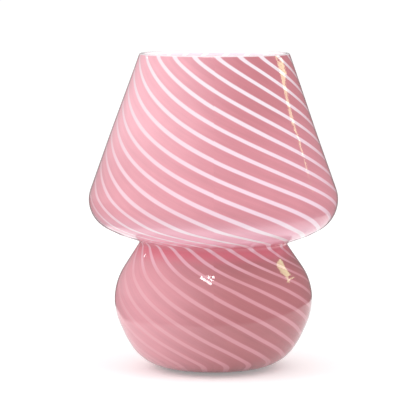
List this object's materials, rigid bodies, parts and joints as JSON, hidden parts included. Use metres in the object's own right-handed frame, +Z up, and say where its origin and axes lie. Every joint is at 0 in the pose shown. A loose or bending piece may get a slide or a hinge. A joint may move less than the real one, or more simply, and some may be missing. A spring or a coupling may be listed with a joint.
{
  "type": "table lamp",
  "caption": "Table lamp of blown glass, shade and base in a single form with a pinched waist and open rim; a lampholder on a bent bracket inside holds a globe bulb that screws out.",
  "frame": {"origin": "on the table, under the lamp's axis, level with the bottoms of the pads", "axes": "+Z up along the axis; +Y towards the back, where the cord inlet is; -Y is the front; +X to the right"},
  "size_m": [0.1904, 0.1904, 0.2415],
  "materials": {
    "swirl_glass": "polished blown glass, clear over pink with near-white swirled stripes",
    "clear_silicone": "clear soft silicone",
    "clear_grommet": "translucent soft rubber",
    "white_silicone": "white silicone sheet",
    "zinc_steel": "zinc plated",
    "spring_steel": "bright spring wire",
    "brass": "bright turned brass",
    "white_plastic": "moulded white thermoset",
    "ceramic": "glazed white ceramic",
    "bulb_metal": "nickel plated",
    "bulb_glass_black": "black vitrite",
    "bulb_plastic": "satin white",
    "opal_diffuser": "satin opal",
    "circuit_board": "white solder mask",
    "led_phosphor": "yellow phosphor"
  },
  "bodies": {
    "lamp": {"glass_body": "swirl_glass", "bumper_feet": "clear_silicone", "cord_grommet": "clear_grommet", "fixing_bolt": "zinc_steel", "lower_washer": "zinc_steel", "lower_gasket": "white_silicone", "upper_gasket": "white_silicone", "holder_bracket": "zinc_steel", "spring_washer": "zinc_steel", "fixing_nut": "zinc_steel", "holder_nipple": "brass", "nipple_locknut": "brass", "toothed_washer": "zinc_steel", "holder_cap": "white_plastic", "cap_grub_screw": "zinc_steel", "holder_insert": "ceramic", "thread_shell": "brass", "shell_terminal": "brass", "centre_terminal": "brass", "terminal_screws": "zinc_steel", "plunger_spring": "spring_steel", "holder_skirt": "white_plastic"},
    "contact": {"contact_plunger": "brass"},
    "bulb_tip": {"bulb_eyelet": "bulb_metal"},
    "bulb": {"bulb_insulator": "bulb_glass_black", "bulb_cap": "bulb_metal", "bulb_housing": "bulb_plastic", "bulb_diffuser": "opal_diffuser", "led_board": "circuit_board", "led_chips": "led_phosphor", "driver_board": "circuit_board"}
  },
  "joints": [
    {"name": "bulb_rise", "type": "slide", "parent": "lamp", "child": "bulb_tip", "axis": [0, 0, 1], "range_m": [0, 0.017]},
    {"name": "bulb_turn", "type": "hinge", "parent": "bulb_tip", "child": "bulb", "pos_m": [0, 0, 0.0727], "axis": [0, 0, 1], "range_deg": [0, 2160]},
    {"name": "contact_press", "type": "slide", "parent": "lamp", "child": "contact", "axis": [0, 0, 1], "range_m": [-0.0008, 0], "stiffness_N_per_m": 400, "deforming": ["plunger_spring"]}
  ],
  "couplings": [
    {"joint": "bulb_rise", "follows": "bulb_turn", "m_per_rad": 0.00044913}
  ]
}
